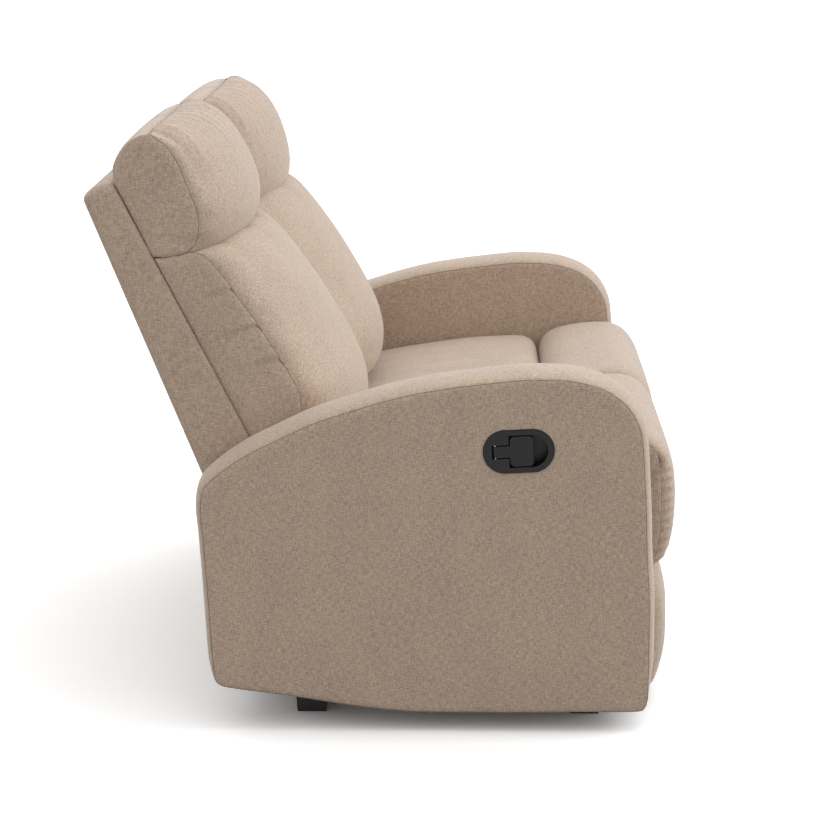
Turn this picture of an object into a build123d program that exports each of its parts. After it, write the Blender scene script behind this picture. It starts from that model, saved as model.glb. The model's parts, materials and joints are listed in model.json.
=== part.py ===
"""Two-seat manual reclining sofa, in millimetres.

+Z is up, the front faces -Y, and the origin is on the floor at the middle of the sofa's box.
"right" and "left" are the sitter's own, so the right seat lies at -X.
Each seat glides on two bearers, its back leans on a hinge behind the seat cushion, and its padded
legrest swings out on a hinge at the front of the seat, steadied by a parallelogram of steel links.
"""
import os

from build123d import *

# Overall sizes
OVERALL_WIDTH = 1300.0
OVERALL_DEPTH = 996.0
OVERALL_HEIGHT = 1012.0
ARM_THICKNESS = 120.0
SIDE_GAP = 3.0          # between a seat and the arm, and half the gap between the two seats
FOOT_HEIGHT = 45.0      # floor to the underside of the cross beams

# Arm outline seen from the side: distance behind the front of the roll, and height
ARM_FRONT_FOOT = (41.0, 38.0)
ARM_FRONT_TOP = (54.0, 470.0)
ARM_SHOULDER_VIA = (86.0, 558.0)
ARM_SHOULDER = (168.0, 604.0)
ARM_TOP_VIA = (468.0, 579.0)
ARM_REAR_TOP = (799.0, 426.0)
ARM_REAR_FOOT = (776.0, 76.0)
ARM_BELLY_VIA = (593.0, 51.0)
ARM_BELLY = (423.0, 33.0)
ARM_CORNER_RADIUS = 18.0
ARM_EDGE_RADIUS = 12.0
ARM_PAD = 16.0          # padding and cover on the arm's outer and inner faces
ARM_RIM_PAD = 24.0      # padding and cover round the arm's outline
ARM_WEB = 18.0          # plywood web on the arm's inner side
ARM_RIM = 40.0          # width of the timber rim round the web
ARM_PANEL = 4.0         # hardboard that closes the arm's outer side

# Release handle in the arm
HANDLE_BACK = 271.0     # behind the front of the roll
HANDLE_Z = 485.0
HANDLE_LENGTH = 118.0
HANDLE_HEIGHT = 73.0
HANDLE_TILT = 3.0       # degrees, front end up
BEZEL_PROUD = 3.0
CUP_LENGTH = 64.0
CUP_HEIGHT = 54.0
CUP_DEPTH = 24.0
CUP_WALL = 2.0
CUP_OFFSET = 16.0       # cup's centre, forward of the bezel's centre
TAIL_LENGTH = 28.0
FLAP_CLEAR = 2.0
FLAP_THICK = 5.0
FLAP_HEAD_LENGTH = 38.0
FLAP_TAIL_HEIGHT = 19.0
FLAP_PIN_RADIUS = 1.5
FLAP_BARREL_RADIUS = 3.5
RUNNING_CLEAR = 0.08
CABLE_RADIUS = 3.0
CABLE_CLEAR = 2.0       # round the cable where it passes the arm's inner face
CABLE_BEND = 40.0
CABLE_EXIT_Z = 200.0
CABLE_EXIT_Y = 40.0

# Base
BEAM_WIDTH = 40.0
BEAM_HEIGHT = 60.0
FRONT_BEAM_BACK = 153.0     # behind the front of the roll
REAR_BEAM_Y = 122.0
BEARER_THICK = 20.0
BEARER_BACK = 138.0         # front end of a bearer, behind the front of the roll
BEARER_REAR = 190.0
TRACK_THICK = 8.0
SHOE_HEIGHT = 24.0
SHOE_LENGTH = 60.0
GLIDE_CLEAR = 0.4       # between the shoes and the tracks
FOOT_WIDTH = 55.0
FOOT_TAPER = 6.0
FOOT_UNDER_ARM = 24.0   # how far a foot reaches out below the arm
APRON_THICK = 20.0
APRON_INSET = 32.0      # front of the apron, ahead of the arm's rear foot
APRON_LOW = 85.0
APRON_HIGH = 268.0
BOLT_RADIUS = 4.0
BOLT_HEAD_RADIUS = 7.0
BOLT_HEAD = 5.0
BOLT_LENGTH = 45.0
BOLT_DROP = 12.0        # below the top of the beam

# Seat frame and springs
FRAME_LOW = 282.0
FRAME_HEIGHT = 60.0
FRAME_BOARD = 22.0
FRAME_BACK = 148.0      # front of the frame, behind the front of the roll
FRAME_REAR = 100.0
FRAME_INSET = 6.0       # from the side of the seat to the frame's side board
SPRING_COUNT = 5
SPRING_WIRE = 1.9       # radius
SPRING_PITCH = 84.0
SPRING_LOOP = 24.0      # radius of each turn
SPRING_TURNS = 8

# Steel plates and links of one seat, as layers inward from the side board
STEEL = 4.0
LAYER_GAP = 1.0
PIN_RADIUS = 5.0
LEG_HINGE_BACK = 48.0   # legrest hinge, behind the front of the roll
LEG_HINGE_HIGH = 430.0
STAY_OFFSET = (172.0, -156.0)     # stay pivot from the legrest hinge
STAY_REACH = (62.0, -130.0)       # coupler pivot from the stay pivot, and legrest pivot from its hinge
LINK_HALF = 12.0
EAR_RADIUS = 12.0
TUBE_RADIUS = 9.0
TUBE_SHARE = 0.45
BACK_HINGE = (200.0, 345.0)
BACK_EAR = 20.0

# Seat cushion, front pad, bend and legrest pads: (Y, Z) of the side seam and of the crown
PAD_CLEAR = 2.0
TOUCH = 0.3             # between a pad and what it is fixed to
SEAT_REAR = 78.0
SEAT_SPLIT_BACK = 212.0     # valley between seat and knee, behind the front of the roll
SEAT_REAR_HIGH = 410.0
SEAT_SPLIT_HIGH = 456.0
SEAT_FRONT_HIGH = 478.0
SEAT_CROWN = 14.0
SEAT_EDGE_HIGH = 400.0      # where the seat cushion's front face starts to turn over
SEAT_MIDDLE = (-100.0, 432.0)
FRONT_PAD_MIDDLE = (158.0, 472.0)   # behind the front of the roll, and height
BEND_BACK = 108.0           # where the padding starts to bend, behind the front of the roll
LEG_SIDE_DRAW = 28.0        # how far the side seam lies behind the front of the roll
ROLL_HIGH = 400.0           # top of the roll's upright stretch
KNEE_VIA = (15.0, 453.0)    # the knee's crown: distance behind the front of the roll, and height
KNEE_TOP = (58.0, 486.0)
KNEE_SIDE_VIA = (10.0, 438.0)   # the same at the side seam, behind the seam's own front
KNEE_SIDE_TOP = (40.0, 460.0)
ROLL_LOW = 248.0
ROLL_TURN = (6.0, 284.0)    # where the roll turns under: behind its front, and height
ROLL_UNDER = 28.0
LEG_LOW = 25.0
LOW_PAD_BACK = 8.0          # front of the lower pad, behind the front of the roll
LOW_PAD_MIDDLE = 150.0
LOW_PAD_ROUND = 22.0
LOW_PAD_SIDE_DRAW = 36.0
LEG_BOARD = 14.0
LEG_BOARD_BACK = 94.0       # rear of the board, behind the front of the roll
LEG_PAD_HIGH = 336.0
FOAM_OVER_HINGE = 20.0  # padding left in front of the hinge slots
LEG_BOARD_LOW = 62.0
LEG_BOARD_HIGH = 320.0

# Back shell, seen from the side
SHELL_FOOT_FRONT = (143.0, 320.0)
SHELL_FOOT_REAR = (271.0, 320.0)
SHELL_DROP = 132.0          # its rear edge, below the top of the headrest
SHELL_TOP_VIA = (-19.0, 19.0)    # the rest of its top, from the rear edge
SHELL_TOP_FRONT = (-53.0, 27.0)
SHELL_WALL = 15.0
STILE = 18.0
BACK_RAIL = 40.0
BACK_BOARD = 22.0
BACK_BOARD_INSET = 8.0
BRACKET_REACH = 190.0
BRACKET_WIDTH = 36.0
STILE_START = 78.0          # foot of the back's timber frame, up the back

# Back cushion: (Y, Z) of its lower part, and its upper part from the headrest's gap on the shell
BACK_START = 96.0           # foot of the cushion, up the back
HEADREST_GAP = 6.0
BACK_SIDE_LOW = ((112.0, 430.0), (136.0, 480.0), (140.0, 548.0), (212.0, 676.0))
BACK_SIDE_HIGH = ((-77.0, 10.0), (-65.0, 16.0), (-53.0, 14.0))
BACK_CROWN_LOW = ((80.0, 428.0), (42.0, 476.0), (40.0, 545.0), (110.0, 694.0))
BACK_CROWN_HIGH = ((-177.0, 32.0), (-149.0, 43.0), (-113.0, 20.0))

# Headrest, from the top front edge of the shell
HEADREST_HEIGHT = 130.0     # gap below the headrest, below that edge
HEAD_SIDE = ((-122.0, -113.0), (-140.0, -65.0), (-122.0, -5.0), (-102.0, 49.0), (-56.0, 80.0),
             (-16.0, 59.0), (4.0, 23.0))
HEAD_CROWN = ((-162.0, -107.0), (-230.0, -42.0), (-202.0, 38.0), (-166.0, 82.0), (-104.0, 105.0),
              (-22.0, 72.0), (10.0, 23.0))

INNER = OVERALL_WIDTH / 2 - ARM_THICKNESS
SEAT_WIDTH = INNER - 2 * SIDE_GAP
SEAT_CENTRE = SIDE_GAP + SEAT_WIDTH / 2
HALF = SEAT_WIDTH / 2
BOARD_OUT = HALF - FRAME_INSET
PLATE_OUT = BOARD_OUT - FRAME_BOARD
STAY_OUT = PLATE_OUT - STEEL - LAYER_GAP
COUPLER_OUT = STAY_OUT - STEEL - LAYER_GAP
BRACKET_OUT = COUPLER_OUT - STEEL - LAYER_GAP
FRAME_HIGH = FRAME_LOW + FRAME_HEIGHT
BEARER_HIGH = FRAME_LOW - SHOE_HEIGHT - GLIDE_CLEAR - TRACK_THICK
CUSHION_LOW = FRAME_HIGH + 2 * SPRING_WIRE + TOUCH
BEAM_HIGH = FOOT_HEIGHT + BEAM_HEIGHT
LEG_FRONT = -OVERALL_DEPTH / 2
HANDLE_Y = LEG_FRONT + HANDLE_BACK
APRON_Y = LEG_FRONT + ARM_REAR_FOOT[0] - APRON_INSET
FRONT_BEAM_Y = LEG_FRONT + FRONT_BEAM_BACK
BEARER_FRONT = LEG_FRONT + BEARER_BACK
FRAME_FRONT = LEG_FRONT + FRAME_BACK
SEAT_SPLIT = LEG_FRONT + SEAT_SPLIT_BACK
LEG_HINGE = (LEG_FRONT + LEG_HINGE_BACK, LEG_HINGE_HIGH)
BEND_PLANE = LEG_FRONT + BEND_BACK
LEG_PAD_FRONT = LEG_FRONT + LOW_PAD_BACK
LEG_BOARD_REAR = LEG_FRONT + LEG_BOARD_BACK
STAY_PIVOT = (LEG_HINGE[0] + STAY_OFFSET[0], LEG_HINGE[1] + STAY_OFFSET[1])
COUPLER_PIVOT = (STAY_PIVOT[0] + STAY_REACH[0], STAY_PIVOT[1] + STAY_REACH[1])
BRACKET_PIVOT = (LEG_HINGE[0] + STAY_REACH[0], LEG_HINGE[1] + STAY_REACH[1])

SIDES = {"right": -1, "left": 1}
parts = {}


def point(yz, x=0.0):
    """A point of the side view, at a place across the sofa."""
    return Vector(x, yz[0], yz[1])


def from_front(yz):
    """A place given by its distance behind the front of the roll, and its height."""
    return (LEG_FRONT + yz[0], yz[1])


def wire(start, kinds, points, x=0.0):
    """A closed outline in the side view: L is a line to the next point, A an arc by the next two."""
    edges = []
    here = point(start, x)
    rest = [point(p, x) for p in points]
    for kind in kinds:
        if kind == "L":
            there = rest.pop(0)
            edges.append(Edge.make_line(here, there))
        else:
            via = rest.pop(0)
            there = rest.pop(0)
            edges.append(Edge.make_three_point_arc(here, via, there))
        here = there
    edges.append(Edge.make_line(here, point(start, x)))
    return Wire(edges)


def slab(outline, x0, x1):
    """A side-view outline carried across the sofa from x0 to x1."""
    moved = Face(outline).moved(Pos(min(x0, x1), 0, 0))
    return Solid.extrude(moved, Vector(abs(x1 - x0), 0, 0))


def block(low, high):
    """A box between two corners."""
    size = [high[i] - low[i] for i in range(3)]
    middle = [(high[i] + low[i]) / 2 for i in range(3)]
    return Pos(*middle) * Box(*size)


def rod(radius, yz, x0, x1):
    """A round bar across the sofa."""
    bar = Cylinder(radius, abs(x1 - x0), rotation=(0, 90, 0))
    return Pos((x0 + x1) / 2, yz[0], yz[1]) * bar


def link(a, b, half, hole, x0, x1, bores=(True, True)):
    """A flat steel link between two pivots of the side view, round at both ends and bored."""
    along = Vector(b[0] - a[0], b[1] - a[1], 0).normalized()
    across = (-along.Y * half, along.X * half)
    corners = [(p[0] + s * across[0], p[1] + s * across[1]) for p, s in ((a, 1), (b, 1), (b, -1), (a, -1))]
    bar = slab(wire(corners[0], "LLL", corners[1:]), x0, x1)
    bar = bar + rod(half, a, x0, x1) + rod(half, b, x0, x1)
    for pivot, bored in zip((a, b), bores):
        if bored:
            bar = bar - rod(hole, pivot, x0 - 1, x1 + 1)
    return bar


def moved(yz, *steps):
    """A place of the side view, moved by one or more steps."""
    return (yz[0] + sum(s[0] for s in steps), yz[1] + sum(s[1] for s in steps))


def blended(side, crown, share):
    """The outline a share of the way from the side seam to the crown."""
    return [tuple(s + (c - s) * share for s, c in zip(p, q)) for p, q in zip(side, crown)]


FLAT_STEPS = ((1.0, 0.0), (0.97, 0.55), (0.90, 0.88), (0.75, 1.0))
ROUND_STEPS = ((1.0, 0.0), (0.94, 0.2), (0.80, 0.48), (0.45, 0.86), (0.15, 1.0))
SHELL_STEPS = ((1.0, 0.0), (0.985, 0.7), (0.96, 1.0))


def cushion(kinds, side, crown, centre, half, steps):
    """A pad lofted across the seat: drawn in at its side seams and full over its middle.
    Each step is a place, as a share of the half width, and how full the pad is there."""
    places = [(-x, s) for x, s in steps] + [(x, s) for x, s in reversed(steps)]
    wires = []
    for x, share in places:
        outline = blended(side, crown, share)
        wires.append(wire(outline[0], kinds, outline[1:], centre + x * half))
    return Solid.make_loft(wires, ruled=True)


def arm_outline(inset=0.0):
    """The arm's side outline, with its two lower corners and the rear corner rounded."""
    rest = [ARM_FRONT_TOP, ARM_SHOULDER_VIA, ARM_SHOULDER, ARM_TOP_VIA, ARM_REAR_TOP, ARM_REAR_FOOT,
            ARM_BELLY_VIA, ARM_BELLY]
    face = Face(wire(from_front(ARM_FRONT_FOOT), "LAALA", [from_front(p) for p in rest]))
    corners = [point(from_front(p)) for p in (ARM_FRONT_FOOT, ARM_REAR_FOOT, ARM_REAR_TOP)]
    sharp = [v for v in face.vertices() if min((Vector(v) - c).length for c in corners) < 0.01]
    face = face.fillet_2d(ARM_CORNER_RADIUS, sharp)
    whole = face.outer_wire()
    return whole if not inset else whole.offset_2d(-inset)


def arms():
    """Two arms: a plywood web with a timber rim, a hardboard outer panel, and the padded cover."""
    full = arm_outline()
    core = arm_outline(ARM_RIM_PAD)
    hollow = arm_outline(ARM_RIM_PAD + ARM_RIM)
    for name, sign in SIDES.items():
        outer = sign * OVERALL_WIDTH / 2
        inner = sign * INNER
        web_in = inner + sign * ARM_PAD
        web_out = web_in + sign * ARM_WEB
        panel_out = outer - sign * ARM_PAD
        panel_in = panel_out - sign * ARM_PANEL
        body = slab(full, inner, outer)
        rims = [e for e in body.edges() if min(abs(e.center().X - x) for x in (inner, outer)) < 0.01]
        body = fillet(rims, ARM_EDGE_RADIUS)
        padding = body - slab(core, web_in, panel_out)
        rim = slab(core, web_out, panel_in) - slab(hollow, web_out, panel_in)
        frame = slab(core, web_in, web_out) + rim
        panel = slab(core, panel_in, panel_out)
        opening = handle_cup(sign, CUP_WALL)
        passage = rod(CABLE_RADIUS + CABLE_CLEAR, (CABLE_EXIT_Y, CABLE_EXIT_Z), inner - sign, web_out + sign)
        parts[f"{name}_arm_padding"] = padding - opening - passage
        parts[f"{name}_arm_frame"] = frame - passage
        parts[f"{name}_arm_panel"] = panel - opening
        arm_bodies[name] = body


def on_handle(sign, shape):
    """Takes a shape drawn with X out of the arm, Y to the rear and Z up to the handle's place."""
    if sign < 0:
        shape = shape.mirror(Plane.YZ)
    return Pos(sign * OVERALL_WIDTH / 2, HANDLE_Y, HANDLE_Z) * Rot(-HANDLE_TILT, 0, 0) * shape


def stadium(length, height, x0, x1):
    """An oval plate with round ends, drawn about the handle's centre."""
    straight = length - height
    plate = block((x0, -straight / 2, -height / 2), (x1, straight / 2, height / 2))
    for y in (-straight / 2, straight / 2):
        plate = plate + rod(height / 2, (y, 0), x0, x1)
    return plate


def cup_space(grow, x0, x1):
    """The hollow that the flap lies in: a rounded well at the front and a slot for the tail."""
    height = CUP_HEIGHT + 2 * grow
    well = stadium(CUP_LENGTH + 2 * grow, height, x0, x1)
    rear = block((x0, 0, -height / 2), (x1, CUP_LENGTH / 2 + grow, height / 2))
    slot_half = FLAP_TAIL_HEIGHT / 2 + FLAP_CLEAR + grow
    slot = block((x0, 0, -slot_half), (x1, CUP_LENGTH / 2 + TAIL_LENGTH + grow, slot_half))
    return Pos(0, -CUP_OFFSET, 0) * (well + rear + slot)


def handle_cup(sign, grow):
    """The space that the handle's cup takes up inside the arm."""
    return on_handle(sign, cup_space(grow, -CUP_DEPTH - CUP_WALL, ARM_EDGE_RADIUS))


def handles():
    """Each handle: a black bezel with a cup, a flap hinged at its tail, and the flap's pin."""
    hinge_y = -CUP_OFFSET + CUP_LENGTH / 2 + TAIL_LENGTH - FLAP_CLEAR - FLAP_BARREL_RADIUS
    hinge_x = BEZEL_PROUD - FLAP_BARREL_RADIUS
    head_rear = -CUP_OFFSET + CUP_LENGTH / 2 - FLAP_CLEAR
    head_front = head_rear - FLAP_HEAD_LENGTH
    head_half = CUP_HEIGHT / 2 - FLAP_CLEAR
    tail_half = FLAP_TAIL_HEIGHT / 2
    face_low = BEZEL_PROUD - FLAP_THICK
    pin_half = tail_half + FLAP_CLEAR + CUP_WALL
    for name, sign in SIDES.items():
        rim = stadium(HANDLE_LENGTH, HANDLE_HEIGHT, 0, BEZEL_PROUD)
        rim = fillet([e for e in rim.edges() if abs(e.center().X - BEZEL_PROUD) < 0.01], BEZEL_PROUD * 0.6)
        cup = cup_space(CUP_WALL, -CUP_DEPTH - CUP_WALL, 0)
        bezel = rim + cup - cup_space(0, -CUP_DEPTH, BEZEL_PROUD + 1)
        pin = Pos(hinge_x, hinge_y, 0) * Cylinder(FLAP_PIN_RADIUS, 2 * pin_half)
        bezel = bezel - pin
        head = block((face_low, head_front, -head_half), (BEZEL_PROUD, head_rear, head_half))
        head = fillet(head.edges().filter_by(Axis.X), FLAP_HEAD_LENGTH * 0.2)
        tail_front = head_rear - FLAP_HEAD_LENGTH / 4
        tail = block((face_low, tail_front, -tail_half), (BEZEL_PROUD, hinge_y, tail_half))
        barrel = Pos(hinge_x, hinge_y, 0) * Cylinder(FLAP_BARREL_RADIUS, 2 * tail_half)
        bore = Pos(hinge_x, hinge_y, 0) * Cylinder(FLAP_PIN_RADIUS + RUNNING_CLEAR, 4 * pin_half)
        flap = head + tail + barrel - bore
        parts[f"{name}_handle_bezel"] = on_handle(sign, bezel)
        parts[f"{name}_handle_flap"] = on_handle(sign, flap)
        parts[f"{name}_handle_pin"] = on_handle(sign, pin)
        axis = on_handle(sign, Pos(hinge_x, hinge_y, 0) * Cylinder(1, 1)).center()
        print(f"{name} flap hinge", [round(v, 3) for v in (axis.X, axis.Y, axis.Z)])


def cables():
    """The release cable of each seat, from its cup, inside the arm, to the seat's outer bearer."""
    web_out = INNER + ARM_PAD + ARM_WEB
    cup_back = OVERALL_WIDTH / 2 - CUP_DEPTH - CUP_WALL
    inside = (web_out + cup_back) / 2
    leave = (cup_back - inside) * 0.8
    tight = (inside - web_out) * 0.9
    for name, sign in SIDES.items():
        end = sign * (SEAT_CENTRE + BOARD_OUT)
        route = [
            Vector(sign * cup_back, HANDLE_Y, HANDLE_Z),
            Vector(sign * inside, HANDLE_Y, HANDLE_Z),
            Vector(sign * inside, CABLE_EXIT_Y, HANDLE_Z - CUP_HEIGHT),
            Vector(sign * inside, CABLE_EXIT_Y, CABLE_EXIT_Z),
            Vector(end, CABLE_EXIT_Y, CABLE_EXIT_Z),
        ]
        path = FilletPolyline(*route, radius=[leave, CABLE_BEND, tight])
        section = Plane(path @ 0, z_dir=path % 0) * Circle(CABLE_RADIUS)
        parts[f"{name}_release_cable"] = sweep(section, path)


def base():
    """Cross beams between the arms, bearers with steel tracks, feet, the rear apron and the bolts."""
    beam_places = {"front_cross_beam": FRONT_BEAM_Y, "rear_cross_beam": REAR_BEAM_Y}
    for node, y in beam_places.items():
        low = (-INNER, y - BEAM_WIDTH / 2, FOOT_HEIGHT)
        parts[node] = block(low, (INNER, y + BEAM_WIDTH / 2, BEAM_HIGH))
    bearers = []
    tracks = []
    for sign in SIDES.values():
        for end in (-1, 1):
            out = sign * SEAT_CENTRE + end * BOARD_OUT
            x0, x1 = sorted((out, out - end * BEARER_THICK))
            bearers.append(block((x0, BEARER_FRONT, BEAM_HIGH), (x1, BEARER_REAR, BEARER_HIGH)))
            track_high = BEARER_HIGH + TRACK_THICK
            tracks.append(block((x0, BEARER_FRONT, BEARER_HIGH), (x1, BEARER_REAR, track_high)))
    parts["seat_bearers"] = Compound(bearers)
    parts["glide_tracks"] = Compound(tracks)
    out = INNER + FOOT_UNDER_ARM - FOOT_WIDTH / 2
    feet = []
    for y in beam_places.values():
        feet.append(foot(0, y))
        for name, sign in SIDES.items():
            feet.append(foot(sign * out, y) - arm_bodies[name])
    parts["feet"] = Compound([f.solids()[0] for f in feet])
    apron = block((-INNER, APRON_Y, APRON_LOW), (INNER, APRON_Y + APRON_THICK, APRON_HIGH))
    parts["rear_apron"] = fillet(apron.edges().filter_by(Axis.X), APRON_THICK * 0.3)
    bolts = []
    for name, sign in SIDES.items():
        web_out = sign * (INNER + ARM_PAD + ARM_WEB)
        for node, y in beam_places.items():
            place = (y, BEAM_HIGH - BOLT_DROP)
            shank = rod(BOLT_RADIUS, place, web_out, web_out - sign * BOLT_LENGTH)
            bolt = shank + rod(BOLT_HEAD_RADIUS, place, web_out, web_out + sign * BOLT_HEAD)
            bolts.append(bolt.solids()[0])
            for holed in (node, f"{name}_arm_frame", f"{name}_arm_padding"):
                parts[holed] = parts[holed] - bolt
    parts["arm_bolts"] = Compound(bolts)


def foot(x, y):
    """A square black foot below a beam, a little narrower at the floor."""
    top = Plane.XY.offset(FOOT_HEIGHT) * Pos(x, y) * Rectangle(FOOT_WIDTH, FOOT_WIDTH)
    floor = Pos(x, y) * Rectangle(FOOT_WIDTH - FOOT_TAPER, FOOT_WIDTH - FOOT_TAPER)
    return loft([floor, top], ruled=True)


def seat(name, sign):
    """One seat: frame boards, wire springs, glide shoes, steel plates, pins and the two top cushions."""
    c = sign * SEAT_CENTRE
    boards = []
    shoes = []
    plates = []
    pins = []
    for end in (-1, 1):
        x0, x1 = sorted((c + end * BOARD_OUT, c + end * PLATE_OUT))
        boards.append(block((x0, FRAME_FRONT, FRAME_LOW), (x1, FRAME_REAR, FRAME_HIGH)))
        for y in (FRAME_FRONT + 3 * FRAME_BOARD, FRAME_REAR - SHOE_LENGTH):
            shoes.append(block((x0, y, FRAME_LOW - SHOE_HEIGHT), (x1, y + SHOE_LENGTH, FRAME_LOW)))
        plates.append(seat_plate(c + end * PLATE_OUT, c + end * (PLATE_OUT - STEEL)))
        stop = c + end * BRACKET_OUT - end * STEEL
        pins.append(rod(PIN_RADIUS, LEG_HINGE, c + end * PLATE_OUT, stop))
        pins.append(rod(PIN_RADIUS, STAY_PIVOT, c + end * PLATE_OUT, c + end * (STAY_OUT - STEEL)))
        pins.append(rod(PIN_RADIUS, BACK_HINGE, c + end * PLATE_OUT, c + end * (STAY_OUT - STEEL)))
    across = PLATE_OUT - STEEL
    for y in (FRAME_FRONT, FRAME_REAR - FRAME_BOARD):
        boards.append(block((c - across, y, FRAME_LOW), (c + across, y + FRAME_BOARD, FRAME_HIGH)))
    parts[f"{name}_seat_frame"] = Compound([b.solids()[0] for b in boards])
    parts[f"{name}_glide_shoes"] = Compound([s.solids()[0] for s in shoes])
    parts[f"{name}_seat_plates"] = Compound([p.solids()[0] for p in plates])
    parts[f"{name}_seat_pins"] = Compound([p.solids()[0] for p in pins])
    parts[f"{name}_seat_springs"] = Compound([spring(c + (i - (SPRING_COUNT - 1) / 2) * SPRING_PITCH)
                                              for i in range(SPRING_COUNT)])
    edge = SEAT_CROWN * 0.8
    split = SEAT_SPLIT + PAD_CLEAR
    under = [(SEAT_REAR, CUSHION_LOW), (split, CUSHION_LOW)]
    side = under + [(SEAT_SPLIT + edge / 2, SEAT_EDGE_HIGH), (SEAT_SPLIT + edge, SEAT_SPLIT_HIGH - edge),
                    (SEAT_MIDDLE[0], SEAT_MIDDLE[1] - edge / 3), (SEAT_REAR, SEAT_REAR_HIGH - edge)]
    crown = under + [(split, SEAT_EDGE_HIGH), (SEAT_SPLIT + edge, SEAT_SPLIT_HIGH),
                     (SEAT_MIDDLE[0], SEAT_MIDDLE[1] + SEAT_CROWN), (SEAT_REAR, SEAT_REAR_HIGH + edge / 2)]
    parts[f"{name}_seat_cushion"] = cushion("LAA", side, crown, c, HALF, FLAT_STEPS)
    rise = SEAT_FRONT_HIGH
    nose = CUSHION_LOW + PAD_CLEAR
    middle, high = from_front(FRONT_PAD_MIDDLE)
    under = [(SEAT_SPLIT - PAD_CLEAR, CUSHION_LOW), (BEND_PLANE, nose)]
    side = under + [(BEND_PLANE, rise - edge), (middle, high - edge),
                    (SEAT_SPLIT - edge, SEAT_SPLIT_HIGH - edge / 2)]
    crown = under + [(BEND_PLANE, rise + edge), (middle, high + edge),
                     (SEAT_SPLIT - edge, SEAT_SPLIT_HIGH + edge / 3)]
    plate_slots = slots(c, PLATE_OUT + LAYER_GAP, PLATE_OUT - STEEL - LAYER_GAP)
    parts[f"{name}_seat_front_pad"] = cushion("LLA", side, crown, c, HALF, FLAT_STEPS) - plate_slots
    bend = BEND_PLANE - TOUCH
    bend_low = LEG_PAD_HIGH + 2 * PAD_CLEAR
    front = LEG_FRONT + LEG_SIDE_DRAW
    under = [(bend, nose), (LEG_BOARD_REAR - LEG_BOARD, bend_low)]
    side = under + [(front, bend_low), (front, ROLL_HIGH), (front + KNEE_SIDE_VIA[0], KNEE_SIDE_VIA[1]),
                    (front + KNEE_SIDE_TOP[0], KNEE_SIDE_TOP[1]), (bend, rise - edge)]
    crown = under + [(LEG_FRONT, bend_low), (LEG_FRONT, ROLL_HIGH), (LEG_FRONT + KNEE_VIA[0], KNEE_VIA[1]),
                     (LEG_FRONT + KNEE_TOP[0], KNEE_TOP[1]), (bend, rise + edge)]
    hinge_slots = slots(c, PLATE_OUT + LAYER_GAP, BRACKET_OUT - STEEL - LAYER_GAP)
    parts[f"{name}_knee_bend_pad"] = cushion("LLLAL", side, crown, c, HALF, FLAT_STEPS) - hinge_slots


def slots(centre, out, within):
    """The two slots in the padding that the hinge plates of a seat stand in."""
    reach = LEG_HINGE[0] - EAR_RADIUS - FOAM_OVER_HINGE / 4
    top = LEG_HINGE[1] + EAR_RADIUS + FOAM_OVER_HINGE / 4
    cut = []
    for end in (-1, 1):
        x0, x1 = sorted((centre + end * out, centre + end * within))
        cut.append(block((x0, reach, FRAME_LOW), (x1, FRAME_FRONT + FRAME_BOARD, top)))
    return cut[0] + cut[1]


def seat_plate(x0, x1):
    """The steel side plate of a seat: it carries the legrest hinge, the stay and the back hinge."""
    low = STAY_PIVOT[1] - LINK_HALF - STEEL
    x0, x1 = sorted((x0, x1))
    slope = EAR_RADIUS * 0.7
    outline = wire(
        (FRAME_FRONT + FRAME_BOARD / 2, FRAME_HIGH),
        "LLLLLLL",
        [(LEG_HINGE[0] + slope, LEG_HINGE[1] + slope), (LEG_HINGE[0] - slope, LEG_HINGE[1] - slope),
         (STAY_PIVOT[0] - 2 * LINK_HALF, low), (FRAME_REAR, low),
         (BACK_HINGE[0], BACK_HINGE[1] - BACK_EAR), (BACK_HINGE[0], BACK_HINGE[1] + BACK_EAR),
         (FRAME_REAR, FRAME_HIGH)],
    )
    plate = slab(outline, x0, x1)
    plate = plate + rod(EAR_RADIUS, LEG_HINGE, x0, x1) + rod(BACK_EAR, BACK_HINGE, x0, x1)
    for pivot in (LEG_HINGE, STAY_PIVOT, BACK_HINGE):
        plate = plate - rod(PIN_RADIUS, pivot, x0 - 1, x1 + 1)
    return plate


def spring(x):
    """A flat zigzag seat spring of half-round turns, laid on the frame from front to rear."""
    z = FRAME_HIGH + SPRING_WIRE
    first = FRAME_FRONT + FRAME_BOARD / 2
    last = FRAME_REAR - FRAME_BOARD / 2
    pitch = (last - first) / SPRING_TURNS
    edges = []
    reach = SPRING_LOOP
    for i in range(SPRING_TURNS):
        s = 1 if i % 2 else -1
        y = first + i * pitch
        a = Vector(x, y, z)
        b = Vector(x, y + pitch, z)
        edges.append(Edge.make_three_point_arc(a, Vector(x + s * reach, y + pitch / 2, z), b))
    path = Wire(edges)
    section = Plane(path @ 0, z_dir=path % 0) * Circle(SPRING_WIRE)
    return sweep(section, path, transition=Transition.ROUND).solids()[0]


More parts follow.
